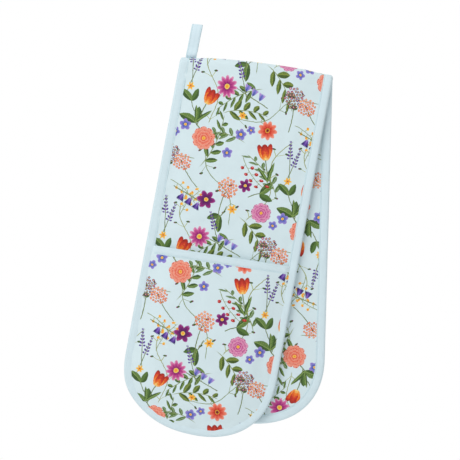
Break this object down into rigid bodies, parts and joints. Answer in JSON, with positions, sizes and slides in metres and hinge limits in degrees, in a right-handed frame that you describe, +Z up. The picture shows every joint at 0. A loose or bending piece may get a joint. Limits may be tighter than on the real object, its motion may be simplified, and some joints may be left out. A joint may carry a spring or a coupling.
{
  "type": "double oven glove",
  "caption": "Long quilted cloth strip folded over and hung by a tape loop, with rounded bound ends and a quilted hand pocket on each outer face.",
  "frame": {"origin": "inside top of the hanging loop, where it rests on a hook", "axes": "+Z up; +X to the right of a viewer who faces the front half, along the fold, which drops 6.3 degrees to the right; +Y through the glove from the front half to the rear half"},
  "size_m": [0.2452, 0.0512, 0.4862],
  "materials": {
    "printed_cloth": "plain-weave cotton with a floral print on a pale blue ground",
    "pocket_lining": "plain pale blue cotton",
    "wadding": "needled cotton and polyester wadding",
    "binding_tape": "folded cotton bias tape, plain pale blue",
    "loop_tape": "folded cotton tape, plain pale blue"
  },
  "bodies": {
    "hanging_loop": {"loop_tape": "loop_tape"},
    "fold": {"fold_outer_cloth": "printed_cloth", "fold_wadding": "wadding", "fold_lining_cloth": "printed_cloth", "fold_binding_left": "binding_tape", "fold_binding_right": "binding_tape"},
    "front_half": {"front_outer_cloth": "printed_cloth", "front_wadding": "wadding", "front_lining_cloth": "printed_cloth", "front_binding": "binding_tape"},
    "front_pocket": {"front_pocket_outer_cloth": "printed_cloth", "front_pocket_wadding": "wadding", "front_pocket_lining_cloth": "pocket_lining", "front_pocket_mouth_binding": "binding_tape"},
    "rear_half": {"rear_outer_cloth": "printed_cloth", "rear_wadding": "wadding", "rear_lining_cloth": "printed_cloth", "rear_binding": "binding_tape"},
    "rear_pocket": {"rear_pocket_outer_cloth": "printed_cloth", "rear_pocket_wadding": "wadding", "rear_pocket_lining_cloth": "pocket_lining", "rear_pocket_mouth_binding": "binding_tape"}
  },
  "joints": [
    {"name": "loop_swing", "type": "hinge", "parent": "hanging_loop", "child": "fold", "pos_m": [-0.00788, 0, -0.03942], "axis": [0.994, 0, -0.1097], "range_deg": [-80, 80]},
    {"name": "front_fold", "type": "hinge", "parent": "fold", "child": "front_half", "pos_m": [0.06949, -0.0077, -0.04942], "axis": [-0.994, 0, 0.1097], "range_deg": [0, 90]},
    {"name": "rear_fold", "type": "hinge", "parent": "fold", "child": "rear_half", "pos_m": [0.06949, 0.0077, -0.04942], "axis": [0.994, 0, -0.1097], "range_deg": [0, 90]},
    {"name": "front_pocket_mouth", "type": "hinge", "parent": "front_half", "child": "front_pocket", "pos_m": [-0.0086, -0.00665, -0.47075], "axis": [0.9833, 0, -0.1822], "range_deg": [0, 10], "stiffness_Nm_per_rad": 0.3},
    {"name": "rear_pocket_mouth", "type": "hinge", "parent": "rear_half", "child": "rear_pocket", "pos_m": [0.05446, 0.00665, -0.45915], "axis": [-0.9993, 0, 0.0366], "range_deg": [0, 10], "stiffness_Nm_per_rad": 0.3}
  ]
}
